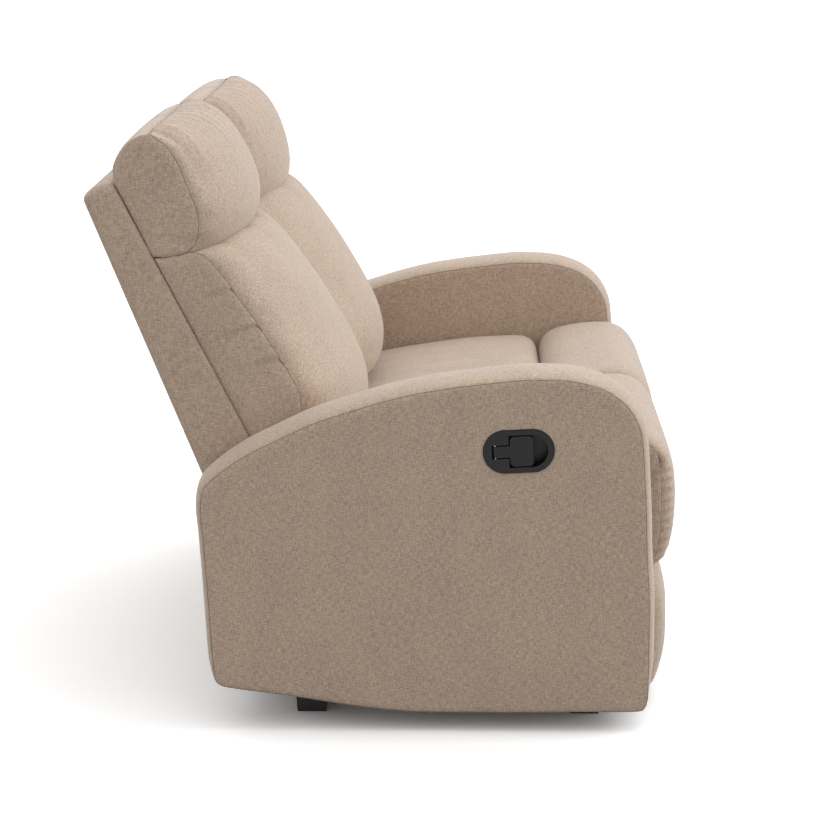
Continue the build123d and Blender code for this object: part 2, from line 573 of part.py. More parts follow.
def legrest(name, sign):
    """The swinging legrest: board, brackets, two pads, and the stays and couplers that steady it."""
    c = sign * SEAT_CENTRE
    hole = PIN_RADIUS + RUNNING_CLEAR
    half_board = HALF - 2 * FRAME_INSET
    corner = (c - half_board, LEG_BOARD_REAR - LEG_BOARD, LEG_BOARD_LOW)
    parts[f"{name}_legrest_board"] = block(corner, (c + half_board, LEG_BOARD_REAR, LEG_BOARD_HIGH))
    rear = LEG_BOARD_REAR - LEG_BOARD - TOUCH
    front = LEG_FRONT + LEG_SIDE_DRAW
    high = LEG_PAD_HIGH
    behind = [(rear, high), (rear, ROLL_LOW)]
    turn, turn_high = ROLL_TURN
    side = behind + [(front + turn, ROLL_LOW), (front, turn_high), (front, high)]
    crown = behind + [(LEG_FRONT + ROLL_UNDER, ROLL_LOW), (LEG_FRONT + turn, turn_high), (LEG_FRONT, high)]
    parts[f"{name}_legrest_upper_pad"] = cushion("LLA", side, crown, c, HALF, FLAT_STEPS)
    top = ROLL_LOW - 2 * PAD_CLEAR
    curl = LEG_PAD_FRONT + LOW_PAD_ROUND
    flat = LEG_PAD_FRONT + LOW_PAD_SIDE_DRAW
    crown = [(rear, top), (rear, LEG_LOW), (curl, LEG_LOW), (LEG_PAD_FRONT, LOW_PAD_MIDDLE), (curl, top)]
    inset = LOW_PAD_ROUND / 3
    side = [(rear, top - inset), (rear, LEG_LOW + inset), (flat + inset, LEG_LOW + inset),
            (flat, LOW_PAD_MIDDLE), (flat + inset, top - inset)]
    parts[f"{name}_legrest_lower_pad"] = cushion("LLA", side, crown, c, HALF, FLAT_STEPS)
    brackets = []
    stays = []
    couplers = []
    for end in (-1, 1):
        x = c + end * BRACKET_OUT
        y = c + end * (BRACKET_OUT - STEEL)
        flat = slab(wire((LEG_BOARD_REAR, LEG_BOARD_HIGH), "LLL",
                         [(LEG_BOARD_REAR + 2 * LINK_HALF, LEG_BOARD_HIGH),
                          (LEG_BOARD_REAR + 2 * LINK_HALF, LEG_BOARD_LOW + LINK_HALF),
                          (LEG_BOARD_REAR, LEG_BOARD_LOW + LINK_HALF)]), x, y)
        slope = EAR_RADIUS * 0.7
        ear = [(LEG_HINGE[0] - slope, LEG_HINGE[1] - slope), (LEG_HINGE[0] + slope, LEG_HINGE[1] + slope)]
        foot_of_neck = (LEG_BOARD_REAR + 2 * LINK_HALF, LEG_BOARD_HIGH)
        neck = slab(wire((LEG_BOARD_REAR, LEG_BOARD_HIGH), "LLL", ear + [foot_of_neck]), x, y)
        bracket = flat + neck + rod(EAR_RADIUS, LEG_HINGE, x, y)
        bracket = bracket - rod(hole, LEG_HINGE, x - 1, y + 1) - rod(hole, LEG_HINGE, y - 1, x + 1)
        brackets.append(bracket + rod(PIN_RADIUS, BRACKET_PIVOT, y, c + end * COUPLER_OUT))
        a, b = sorted((c + end * STAY_OUT, c + end * (STAY_OUT - STEEL)))
        stays.append(link(STAY_PIVOT, COUPLER_PIVOT, LINK_HALF, hole, a, b))
        a, b = sorted((c + end * COUPLER_OUT, c + end * (COUPLER_OUT - STEEL)))
        couplers.append(link(COUPLER_PIVOT, BRACKET_PIVOT, LINK_HALF, hole, a, b, (False, True)))
        couplers.append(rod(PIN_RADIUS, COUPLER_PIVOT, c + end * STAY_OUT, c + end * COUPLER_OUT))
    inside = STAY_OUT - STEEL
    tube_at = tuple(STAY_PIVOT[i] + TUBE_SHARE * STAY_REACH[i] for i in range(2))
    tube = rod(TUBE_RADIUS, tube_at, c - inside, c + inside)
    parts[f"{name}_legrest_brackets"] = Compound([b.solids()[0] for b in brackets])
    parts[f"{name}_legrest_stays"] = stays[0] + stays[1] + tube
    joined = [couplers[0] + couplers[1], couplers[2] + couplers[3]]
    parts[f"{name}_legrest_couplers"] = Compound([j.solids()[0] for j in joined])


def back(name, sign):
    """One back: hollow upholstered shell, timber frame, steel brackets, and its two front cushions."""
    c = sign * SEAT_CENTRE
    foot_rear = SHELL_FOOT_REAR
    top_rear = (OVERALL_DEPTH / 2, OVERALL_HEIGHT - SHELL_DROP)
    top_via = moved(top_rear, SHELL_TOP_VIA)
    top_front = moved(top_rear, SHELL_TOP_FRONT)
    lean = Vector(top_front[0] - SHELL_FOOT_FRONT[0], top_front[1] - SHELL_FOOT_FRONT[1], 0)
    length = lean.length
    u = (lean.X / length, lean.Y / length)
    n = (u[1], -u[0])

    def on_back(s, d):
        """A place up the back's front plane, and behind it."""
        return (SHELL_FOOT_FRONT[0] + s * u[0] + d * n[0], SHELL_FOOT_FRONT[1] + s * u[1] + d * n[1])

    run = Vector(top_rear[0] - foot_rear[0], top_rear[1] - foot_rear[1], 0).normalized()
    inward = (-run.Y * SHELL_WALL, run.X * SHELL_WALL)
    top = length - 3 * SHELL_WALL
    well = wire(
        moved(SHELL_FOOT_FRONT, (-2 * SHELL_WALL, -SHELL_WALL)),
        "LLL",
        [moved(foot_rear, inward, (-SHELL_WALL * run.X, -2 * SHELL_WALL)),
         moved(top_rear, inward, (-2 * SHELL_WALL * run.X, -2 * SHELL_WALL)),
         on_back(top, -SHELL_WALL)],
    )
    inside = HALF - SHELL_WALL
    soft = SHELL_WALL * 0.5
    crown = [SHELL_FOOT_FRONT, foot_rear, top_rear, top_via, top_front]
    side = [SHELL_FOOT_FRONT, moved(foot_rear, (-soft, 0)), moved(top_rear, (-soft, -soft * u[0])),
            moved(top_via, (-soft * u[1], -soft * u[1])), moved(top_front, (-soft * u[0], -soft * u[1]))]
    shell = cushion("LLA", side, crown, c, HALF, SHELL_STEPS)
    parts[f"{name}_back_shell"] = shell - slab(well, c - inside, c + inside)
    near = BACK_BOARD_INSET
    deep = near + BACK_BOARD
    stop = top - 2 * BACK_BOARD_INSET

    def board(low, high):
        """A board's section on the back, between two places up it."""
        corners = [on_back(high, near), on_back(high, deep), on_back(low, deep)]
        return wire(on_back(low, near), "LLL", corners)

    frame = []
    brackets = []
    for end in (-1, 1):
        x0, x1 = sorted((c + end * inside, c + end * (inside - STILE)))
        frame.append(slab(board(STILE_START, stop), x0, x1))
        x0, x1 = sorted((c + end * STAY_OUT, c + end * (STAY_OUT - STEEL)))
        strap = wire(
            on_back(STILE_START, near),
            "LLLL",
            [on_back(BRACKET_REACH, near), on_back(BRACKET_REACH, near + BRACKET_WIDTH),
             moved(BACK_HINGE, (BACK_EAR, 0)), moved(BACK_HINGE, (-BACK_EAR, 0))],
        )
        bracket = slab(strap, x0, x1) + rod(BACK_EAR, BACK_HINGE, x0, x1)
        brackets.append(bracket - rod(PIN_RADIUS + RUNNING_CLEAR, BACK_HINGE, x0 - 1, x1 + 1))
    for s in (BRACKET_REACH, (BRACKET_REACH + stop) / 2, stop - BACK_RAIL):
        frame.append(slab(board(s, s + BACK_RAIL), c - inside + STILE, c + inside - STILE))
    parts[f"{name}_back_frame"] = Compound([f.solids()[0] for f in frame])
    parts[f"{name}_back_brackets"] = Compound([b.solids()[0] for b in brackets])
    gap = length - HEADREST_HEIGHT / u[1]
    low = on_back(BACK_START, -TOUCH)
    high = on_back(gap - HEADREST_GAP, -TOUCH)
    half = HALF - PAD_CLEAR / 2
    side = [low, *BACK_SIDE_LOW, *(moved(high, p) for p in BACK_SIDE_HIGH), high]
    crown = [low, *BACK_CROWN_LOW, *(moved(high, p) for p in BACK_CROWN_HIGH), high]
    parts[f"{name}_back_cushion"] = cushion("LAAAL", side, crown, c, half, ROUND_STEPS)
    low = on_back(gap, -TOUCH)
    rest = on_back(length + 2 * PAD_CLEAR, -PAD_CLEAR)
    side = [low, *(moved(top_front, p) for p in HEAD_SIDE), rest]
    crown = [low, *(moved(top_front, p) for p in HEAD_CROWN), rest]
    parts[f"{name}_headrest"] = cushion("LAAAL", side, crown, c, half, ROUND_STEPS)


arm_bodies = {}
arms()
handles()
cables()
base()
for side_name, side_sign in SIDES.items():
    seat(side_name, side_sign)
    legrest(side_name, side_sign)
    back(side_name, side_sign)

os.makedirs("parts", exist_ok=True)
for node, shape in parts.items():
    export_step(shape, f"parts/{node}.step")
print(len(parts), "nodes")
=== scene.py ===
import json
import math

import bmesh
import bpy
import numpy as np
from mathutils import Matrix, Vector
from mathutils.geometry import tessellate_polygon


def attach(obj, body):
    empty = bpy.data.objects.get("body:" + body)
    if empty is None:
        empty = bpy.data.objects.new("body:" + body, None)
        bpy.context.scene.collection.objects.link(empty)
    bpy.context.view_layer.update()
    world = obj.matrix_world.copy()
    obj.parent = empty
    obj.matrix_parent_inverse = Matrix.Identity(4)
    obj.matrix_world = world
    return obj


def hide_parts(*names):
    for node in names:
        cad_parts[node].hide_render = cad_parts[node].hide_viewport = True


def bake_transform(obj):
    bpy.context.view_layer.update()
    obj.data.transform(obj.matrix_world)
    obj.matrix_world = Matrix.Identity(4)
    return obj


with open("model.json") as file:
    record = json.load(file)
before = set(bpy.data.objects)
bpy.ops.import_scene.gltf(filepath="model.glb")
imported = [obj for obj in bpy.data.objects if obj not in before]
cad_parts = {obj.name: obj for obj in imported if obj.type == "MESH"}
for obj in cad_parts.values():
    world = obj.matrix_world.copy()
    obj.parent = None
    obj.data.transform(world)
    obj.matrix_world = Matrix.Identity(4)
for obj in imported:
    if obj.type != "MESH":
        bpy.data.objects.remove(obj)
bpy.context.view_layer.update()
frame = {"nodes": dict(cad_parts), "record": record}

# Lengths are in metres. An outline is a list of (Y, Z) in millimetres, as seen from the side: the sofa faces
# -Y, and right and left are the sitter's own.

SIDES = {"right": -1, "left": 1}
CENTRE = 0.265              # middle of a seat, from the sofa's middle
SEAM_HALF = 0.258           # half the width of a seat's pads between their side seams
SEAM_RADIUS = 0.0006        # radius of the sewn seams' thread
SEAM_STAND = 0.6            # how far the thread's middle stands off a pad, in radii
MM = 1000.0                 # millimetres in a metre


# Curves and meshes

def spline(points, count):
    """A smooth curve through points (Catmull-Rom in the points' own index), as count samples."""
    p = np.array(points, float)
    p = np.vstack([2 * p[0] - p[1], p, 2 * p[-1] - p[-2]])
    t = np.linspace(0, len(p) - 3 - 1e-9, count)
    i = t.astype(int)
    f = (t - i)[:, None]
    a, b, c, d = p[i], p[i + 1], p[i + 2], p[i + 3]
    square = 2 * a - 5 * b + 4 * c - d
    cube = 3 * b - a - 3 * c + d
    return 0.5 * (2 * b + (c - a) * f + square * f ** 2 + cube * f ** 3)


def even(loop, count):
    """A closed curve with its samples evenly spaced along its length."""
    c = np.vstack([loop, loop[:1]])
    step = np.linalg.norm(np.diff(c, axis=0), axis=1)
    s = np.concatenate([[0], np.cumsum(step)])
    want = np.linspace(0, s[-1], count, endpoint=False)
    return np.stack([np.interp(want, s, c[:, k]) for k in range(c.shape[1])], 1)


def across(count):
    """Places from -1 to 1 across a piece, the sine of even steps, so that they crowd at its two edges."""
    return np.sin(np.linspace(-1, 1, count) * math.pi / 2)


def hump(x, at, wide):
    """A smooth hump of height 1: e to the power -((x - at) / wide)^2."""
    return np.exp(-((x - at) / wide) ** 2)


def ramp(x, start, full):
    """Rises evenly from 0 at start to 1 at full and is held there, on both sides."""
    return np.clip((x - start) / (full - start), 0, 1)


def make_mesh(name, grids, fills=(), weld=0.00005):
    """One smooth mesh from grids of points, (rows, columns, 3), and from filled flat outlines (each a list
    of an outer loop and any holes), welded where they meet."""
    verts, faces = [], []
    count = 0
    for grid in grids:
        rows, cols = grid.shape[:2]
        index = count + np.arange(rows * cols).reshape(rows, cols)
        quads = np.stack([index[:-1, :-1], index[1:, :-1], index[1:, 1:], index[:-1, 1:]], -1)
        verts.append(grid.reshape(-1, 3))
        faces += quads.reshape(-1, 4).tolist()
        count += rows * cols
    for loops in fills:
        points = np.vstack(loops)
        triangles = tessellate_polygon([loop.tolist() for loop in loops])
        verts.append(points)
        faces += (np.array(triangles) + count).tolist()
        count += len(points)
    mesh = bpy.data.meshes.new(name)
    mesh.from_pydata(np.vstack(verts).tolist(), [], faces)
    merge(mesh, weld)
    return smooth_object(name, mesh)


def merge(mesh, weld):
    """Joins a mesh's points that lie within weld of each other and turns its faces outward."""
    bm = bmesh.new()
    bm.from_mesh(mesh)
    bmesh.ops.remove_doubles(bm, verts=bm.verts, dist=weld)
    bmesh.ops.dissolve_degenerate(bm, edges=bm.edges, dist=1e-6)
    bmesh.ops.recalc_face_normals(bm, faces=bm.faces)
    bm.to_mesh(mesh)
    bm.free()


def smooth_object(name, mesh):
    """A mesh with smooth faces, as an object in the scene."""
    mesh.polygons.foreach_set("use_smooth", np.ones(len(mesh.polygons), bool))
    obj = bpy.data.objects.new(name, mesh)
    bpy.context.scene.collection.objects.link(obj)
    return obj


def front_normals(grid):
    """Unit normals of a pad's surface, the cross product of its two directions, pointing out of its front."""
    n = np.cross(np.gradient(grid, axis=0), np.gradient(grid, axis=1))
    n = n / np.maximum(np.linalg.norm(n, axis=2, keepdims=True), 1e-9)
    return -n if n[len(grid) // 2, grid.shape[1] // 2, 1] > 0 else n


def tube(name, path, radius, sides=6, closed=False):
    """A thin round cord: a circle carried along a path of points, square to the path."""
    if closed:
        path = np.vstack([path, path[:1]])
    tangent = np.gradient(path, axis=0)
    tangent /= np.maximum(np.linalg.norm(tangent, axis=1, keepdims=True), 1e-9)
    up = np.tile([1.0, 0, 0], (len(path), 1))
    up[np.abs(tangent[:, 0]) > 0.9] = [0, 0, 1.0]
    a = np.cross(tangent, up)
    a /= np.linalg.norm(a, axis=1, keepdims=True)
    b = np.cross(tangent, a)
    angles = np.linspace(0, 2 * math.pi, sides + 1)[None, :, None]
    ring = np.cos(angles) * a[:, None] + np.sin(angles) * b[:, None]
    return make_mesh(name, [path[:, None] + radius * ring])


# Padded pieces

FOLD_FADE = 25          # folds die out over 1/FOLD_FADE of a pad's outline at each of its two ends
PANEL_STEPS = 26        # samples of a side panel between its seam and the pad's rear


def pad(name, crown, side, centre, p, q, puff=1.0, bulge=0.003, lip=0.012, rows=120, cols=71,
        folds=None, creases=None, slump=None):
    """A pad across one seat. crown and side are its outline at the pad's middle and at its side seam, from
    its rear low corner round the front to its rear high corner. Between them the outline is
    side + puff * (crown - side) * (1 - |v|^p)^q, where v runs from -1 to 1 across the pad. slump(line) moves
    an outline, and folds(u, v, y, z) moves the front along its normal, in metres, where u runs from 0 to 1
    along the outline and y and z are in millimetres."""
    a = spline(crown, rows) / MM
    b = spline(side, rows) / MM
    if slump is not None:
        a, b = slump(a), slump(b)
    v = across(cols)
    share = puff * np.maximum(0, 1 - np.abs(v) ** p) ** q
    grid = np.zeros((rows, cols, 3))
    grid[..., 0] = centre + v * SEAM_HALF
    grid[..., 1:] = b[:, None] + (a - b)[:, None] * share[None, :, None]
    if folds is not None:
        u = np.linspace(0, 1, rows)[:, None] * np.ones((1, cols))
        lift = folds(u, np.ones((rows, 1)) * v, grid[..., 1] * MM, grid[..., 2] * MM)
        fade = np.minimum(1, np.minimum(u, 1 - u) * FOLD_FADE)
        grid = grid + front_normals(grid) * (lift * fade)[..., None]
    down = np.linspace(0, 1, rows)[:, None, None]
    rear = grid[0] + (grid[-1] - grid[0]) * down
    grids = [grid, rear]
    for col, sign in ((0, -1), (-1, 1)):
        grids.append(side_panel(grid[:, col], rear[:, col], sign, bulge, lip, creases))
    return make_mesh(name, grids), grid


def side_panel(seam, rear, sign, bulge, lip, creases):
    """The panel between a pad's side seam and its rear. It swells outward by bulge, as a quarter ellipse over
    lip from the seam, and by creases(t, y, z), where t runs from 0 at the seam to 1 at the rear, and it lies
    flat again at the rear."""
    t = (np.linspace(0, 1, PANEL_STEPS) ** 1.8)[:, None]
    panel = seam + (rear - seam) * t[..., None]
    reach = np.linalg.norm(panel - panel[:1], axis=2)
    swell = bulge * np.sqrt(1 - (1 - np.minimum(1, reach / lip)) ** 2)
    if creases is not None:
        swell = swell + creases(t, panel[..., 1] * MM, panel[..., 2] * MM)
    panel[..., 0] += sign * swell * (1 - t ** 6)
    return panel


def seam_on(name, grid, rows, cols):
    """A seam's thread along a stretch of a pad's surface, a little sunk in it."""
    normal = front_normals(grid)
    return tube(name, grid[rows, cols] + normal[rows, cols] * SEAM_RADIUS * SEAM_STAND, SEAM_RADIUS)


def soft_copy(node, name, rounds, voxel=0.005):
    """A padded skin over a CAD node: the same form, made of even small faces, with its edges smoothed off."""
    mesh = frame["nodes"][node].data.copy()
    merge(mesh, 1e-6)
    obj = bpy.data.objects.new(name, mesh)
    bpy.context.scene.collection.objects.link(obj)
    remesh = obj.modifiers.new("remesh", "REMESH")
    remesh.mode = "VOXEL"
    remesh.voxel_size = voxel
    smooth = obj.modifiers.new("smooth", "SMOOTH")
    smooth.factor = 0.5
    smooth.iterations = rounds
    made = bpy.data.meshes.new_from_object(obj.evaluated_get(bpy.context.evaluated_depsgraph_get()))
    bpy.data.objects.remove(obj)
    return smooth_object(name, made)


def ripple(v, seed, count):
    """An uneven row of soft waves over v, from -1 to 1: five sines of different pitches added together."""
    rng = np.random.RandomState(seed)
    total = np.zeros_like(v)
    for k in range(5):
        pitch = count * (0.6 + 0.25 * k) * math.pi
        total += np.sin(v * pitch + rng.uniform(0, 6.28)) * rng.uniform(0.5, 1.0)
    return total / 2.6


def pleats(v, seed, count):
    """An uneven row of sharp-valleyed pleats over v, from -1 to 1: |sin(phase)|^0.8, where the phase rises by
    count quarter turns to each side and wavers with three slow sines."""
    rng = np.random.RandomState(seed)
    phase = v * count * math.pi / 2
    for k in (1, 2, 3):
        phase = phase + rng.uniform(0.3, 0.9) * np.sin(v * k * 2.3 + rng.uniform(0, 6.28)) * 2 / k
    return np.abs(np.sin(phase)) ** 0.8 * 2 - 1


# Materials

THREAD_SCALE = 640          # noise cells in a metre across the cloth's threads
THREAD_LONG = 0.16          # the same along the threads, as a share
THREAD_CONTRAST = 3.3
MOTTLE_SCALE = 14
MOTTLE_CONTRAST = 0.22
CLOTH_TONE = (0.44, 0.330, 0.246)
# The seams' thread is a real seam, but its tone darker than the cloth is painted shade, for the shadow in the
# groove along each seam.
SEAM_SHADE_TONE = (0.20, 0.148, 0.108)


def new_material(name):
    """A material with its nodes, and its main shader."""
    mat = bpy.data.materials.new(name)
    mat.use_nodes = True
    return mat, mat.node_tree, mat.node_tree.nodes["Principled BSDF"]


def noise(nt, scale, stretch, detail, rough):
    """Noise on the piece's own coordinates, stretched along some of them."""
    coord = nt.nodes.new("ShaderNodeTexCoord")
    mapping = nt.nodes.new("ShaderNodeMapping")
    mapping.inputs["Scale"].default_value = stretch
    tex = nt.nodes.new("ShaderNodeTexNoise")
    tex.inputs["Scale"].default_value = scale
    tex.inputs["Detail"].default_value = detail
    tex.inputs["Roughness"].default_value = rough
    nt.links.new(coord.outputs["Object"], mapping.inputs["Vector"])
    nt.links.new(mapping.outputs["Vector"], tex.inputs["Vector"])
    return tex.outputs["Fac"]


def arithmetic(nt, op, a, b):
    """One step of arithmetic on two values, each a number or another node's result."""
    node = nt.nodes.new("ShaderNodeMath")
    node.operation = op
    for i, value in enumerate((a, b)):
        if isinstance(value, (int, float)):
            node.inputs[i].default_value = value
        else:
            nt.links.new(value, node.inputs[i])
    return node.outputs[0]


def around_middle(nt, value, contrast):
    """(value - 0.5) * contrast."""
    return arithmetic(nt, "MULTIPLY", arithmetic(nt, "SUBTRACT", value, 0.5), contrast)


def fabric(name, tone, sheen):
    """Heathered weave: tone * (1 + threads + mottling), with fine threads along three directions, a slight
    relief of the threads and a dull surface with some sheen."""
    mat, nt, bsdf = new_material(name)
    threads = 0.0
    for run in ((THREAD_LONG, 1, 1), (1, THREAD_LONG, 1), (1, 1, THREAD_LONG)):
        third = arithmetic(nt, "DIVIDE", noise(nt, THREAD_SCALE, run, detail=2.0, rough=0.6), 3.0)
        threads = arithmetic(nt, "ADD", threads, third)
    mottle = noise(nt, MOTTLE_SCALE, (1, 1, 0.6), detail=4.0, rough=0.6)
    weave = around_middle(nt, threads, THREAD_CONTRAST)
    shade = arithmetic(nt, "ADD", weave, around_middle(nt, mottle, MOTTLE_CONTRAST))
    scale = nt.nodes.new("ShaderNodeVectorMath")
    scale.operation = "SCALE"
    scale.inputs[0].default_value = tone
    nt.links.new(arithmetic(nt, "ADD", shade, 1.0), scale.inputs["Scale"])
    nt.links.new(scale.outputs["Vector"], bsdf.inputs["Base Color"])
    relief = nt.nodes.new("ShaderNodeBump")
    relief.inputs["Strength"].default_value = 0.35
    relief.inputs["Distance"].default_value = 0.001
    nt.links.new(threads, relief.inputs["Height"])
    nt.links.new(relief.outputs["Normal"], bsdf.inputs["Normal"])
    bsdf.inputs["Roughness"].default_value = 0.62
    bsdf.inputs["Specular IOR Level"].default_value = 0.5
    bsdf.inputs["Sheen Weight"].default_value = sheen
    bsdf.inputs["Sheen Roughness"].default_value = 0.5
    bsdf.inputs["Sheen Tint"].default_value = (1, 1, 1, 1)
    return mat


def plain(name, colour, rough, metal=0.0, grain=0.0, scale=60.0, stretch=(1, 1, 1), shine=0.5):
    """A solid colour that noise varies between colour * (1 - grain) and colour * (1 + grain)."""
    mat, nt, bsdf = new_material(name)
    bsdf.inputs["Metallic"].default_value = metal
    bsdf.inputs["Roughness"].default_value = rough
    bsdf.inputs["Specular IOR Level"].default_value = shine
    tones = nt.nodes.new("ShaderNodeValToRGB")
    low, high = tones.color_ramp.elements
    low.color = (*(c * (1 - grain) for c in colour), 1)
    high.color = (*(min(1, c * (1 + grain)) for c in colour), 1)
    nt.links.new(noise(nt, scale, stretch, detail=4.0, rough=0.5), tones.inputs["Fac"])
    nt.links.new(tones.outputs["Color"], bsdf.inputs["Base Color"])
    return mat


def seen_direct(nt, unseen, seen):
    """A value that is one thing to the camera, in mirrors and through glass, and another to the light that
    bounces about."""
    path = nt.nodes.new("ShaderNodeLightPath")
    direct = path.outputs["Is Camera Ray"]
    for ray in ("Is Glossy Ray", "Is Transmission Ray"):
        direct = arithmetic(nt, "MAXIMUM", direct, path.outputs[ray])
    value = nt.nodes.new("ShaderNodeMapRange")
    value.inputs["To Min"].default_value = unseen
    value.inputs["To Max"].default_value = seen
    nt.links.new(direct, value.inputs["Value"])
    return value.outputs["Result"]


CLOTH = fabric("sofa_fabric", CLOTH_TONE, sheen=0.3)
# Cloth for the seams' thread: darker than the sofa's cloth, as painted shade for the groove's shadow along
# each seam.
SEAM_SHADED = fabric("seam_thread_shaded", SEAM_SHADE_TONE, sheen=0.1)
LOOKS = {
    "fabric": CLOTH,
    "timber": plain("timber", (0.45, 0.29, 0.15), 0.65, grain=0.35, scale=7, stretch=(1, 9, 9)),
    "hardboard": plain("hardboard", (0.20, 0.11, 0.05), 0.7, grain=0.2, scale=300),
    "steel": plain("zinc_steel", (0.55, 0.55, 0.56), 0.35, metal=1.0, grain=0.08, scale=120),
    "black_steel": plain("black_steel", (0.018, 0.018, 0.018), 0.4, grain=0.15, scale=200),
    "handle_plastic": plain("handle_plastic", (0.007, 0.0062, 0.0068), 0.36, grain=0.1, scale=300,
                            shine=0.25),
    "foot_plastic": plain("foot_plastic", (0.008, 0.008, 0.008), 0.55, grain=0.1, scale=200),
    "nylon": plain("nylon", (0.52, 0.51, 0.47), 0.45, grain=0.05),
    "cable_sheath": plain("cable_sheath", (0.01, 0.01, 0.01), 0.6, grain=0.1),
}
SLOT = {s["node"]: s["material_slot"] for s in frame["record"]["subparts"]}


def dress(obj, body, *nodes, mat=None, fill=None):
    """Gives a made piece its cloth, the body it moves with and the CAD nodes that it stands for."""
    obj.data.materials.clear()
    obj.data.materials.append(mat or CLOTH)
    if body:
        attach(obj, body)
    if nodes:
        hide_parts(*nodes)
    return obj


# Arms

ARM_MIDDLE = 0.590
ARM_HALF = 0.060
ARM_SWELL = 0.0025          # how far an arm's flat panels stand out from their seams
ARM_EDGE = 0.012            # how far in from the seam a panel's rounded edge reaches
ARM_FOOT = 0.06             # height of the foot
FOOT_CROWN = 0.003          # crown of the band between the seams, up to the height of the foot
BAND_CROWN = 0.012          # and from twice that height up
ARM_SAMPLES = 420
HANDLE = (-0.227, 0.485)    # middle of the release handle, seen from the side
HANDLE_HOLE = (0.106, 0.061)
HANDLE_TILT = math.radians(3)

ARM_OUTLINE = [
    (-446, 60), (-446, 150), (-445, 233), (-440, 310), (-438, 366), (-434, 437), (-430, 490), (-424, 524),
    (-406, 556), (-378, 580), (-344, 594), (-310, 601), (-276, 603), (-242, 603), (-207, 600), (-105, 587),
    (-26, 571), (70, 542), (119, 524), (167, 501), (215, 477), (252, 453), (281, 429), (293, 412), (297, 380),
    (293, 330), (289, 270), (285, 200), (281, 130), (277, 92), (268, 79), (240, 73), (147, 61), (51, 46),
    (-20, 38), (-67, 35), (-160, 35), (-239, 35), (-340, 37), (-425, 38), (-441, 44), (-446, 60),
]


def joined(rings):
    """Rings of points, each with its first point once more at its end."""
    return np.concatenate([rings, rings[:, :1]], axis=1)


def edge_rings(loop, outward, x, face, rings=7):
    """The rounded edge of a flat panel: the seam's loop drawn in by up to ARM_EDGE, while it rises by up to
    ARM_SWELL as a quarter ellipse."""
    t = np.linspace(0, 1, rings) ** 1.5
    out = np.zeros((rings, len(loop), 3))
    out[..., 0] = (x + face * ARM_SWELL * np.sqrt(1 - (1 - t) ** 2))[:, None]
    out[..., 1:] = loop - outward * ARM_EDGE * t[:, None, None]
    return out


def oval(x, centre, length, height, tilt, count=64):
    """An oval with round ends, seen from the side, its front end tilted up."""
    angles = np.linspace(0, 2 * math.pi, count, endpoint=False)
    y = np.sign(np.cos(angles)) * (length - height) / 2 + np.cos(angles) * height / 2
    z = np.sin(angles) * height / 2
    c, s = math.cos(tilt), math.sin(tilt)
    return np.stack([np.full(count, x), centre[0] + y * c + z * s, centre[1] - y * s + z * c], 1)


def arm_band(loop, outward, middle, half, steps=25):
    """The band between an arm's two seams: the loop carried across, moved outward by
    crown * (1 - |v|^2.4)^0.6, where v runs from -1 to 1 across the arm and the crown is less at the foot."""
    v = across(steps)
    crown = FOOT_CROWN + (BAND_CROWN - FOOT_CROWN) * ramp(loop[:, 1], ARM_FOOT, 2 * ARM_FOOT)
    rise = (1 - np.abs(v) ** 2.4) ** 0.6
    band = np.zeros((steps, len(loop), 3))
    band[..., 0] = (middle + v * half)[:, None]
    band[..., 1:] = loop + outward * crown[:, None] * rise[:, None, None]
    return joined(band)


def arm(name, sign):
    """One arm: two flat panels with a crowned band between them, sewn round the edge, and a hole behind the
    handle."""
    loop = even(spline(ARM_OUTLINE, 1200)[:-1] / MM, ARM_SAMPLES)
    tangent = np.roll(loop, -1, 0) - np.roll(loop, 1, 0)
    tangent /= np.linalg.norm(tangent, axis=1, keepdims=True)
    outward = np.stack([-tangent[:, 1], tangent[:, 0]], 1)
    middle = sign * ARM_MIDDLE
    half = ARM_HALF - ARM_SWELL
    grids = [arm_band(loop, outward, middle, half)]
    fills = []
    for face in (-1, 1):
        rings = edge_rings(loop, outward, middle + face * half, face)
        grids.append(joined(rings))
        flat = [rings[-1]]
        if face == sign:
            flat.append(oval(middle + face * ARM_HALF, HANDLE, *HANDLE_HOLE, HANDLE_TILT))
        fills.append(flat)
        seam = np.hstack([np.full((len(loop), 1), middle + face * (half + SEAM_RADIUS / 2)), loop])
        side = "outer" if face == sign else "inner"
        dress(tube(f"{name}_arm_seam_{side}", seam, SEAM_RADIUS, closed=True), "base", mat=SEAM_SHADED)
    dress(make_mesh(f"{name}_arm", grids, fills), "base", f"{name}_arm_padding", fill=0.8)


# Back and headrest

PUFF = {"right": {"back": 0.92, "head": 0.87}, "left": {"back": 1.0, "head": 0.93}}     # how full pads are
BACK_ROWS, BACK_COLS = 150, 91
BACK_CROWN = [
    (165, 362), (142, 392), (112, 416), (66, 428), (34, 460), (25, 503), (32, 545), (52, 592),
    (92, 664), (128, 722), (164, 770), (196, 803), (222, 815), (246, 810), (270, 797), (310, 788),
    (379, 780),
]
BACK_SIDE = [
    (165, 362), (152, 378), (144, 400), (139, 434), (138, 470), (136, 512), (139, 547), (148, 570),
    (177, 618), (204, 662), (230, 699), (262, 745), (288, 777), (305, 789), (322, 790), (345, 785),
    (379, 780),
]
BACK_SEAM_ROWS = slice(10, -14)
GATHER = 0.0030             # depth of the gathers below the headrest
GATHER_RUN = (0.58, 0.79, 0.84, 0.934)      # where along the outline they start, are full, fade and end
BACK_SLACK = 0.001
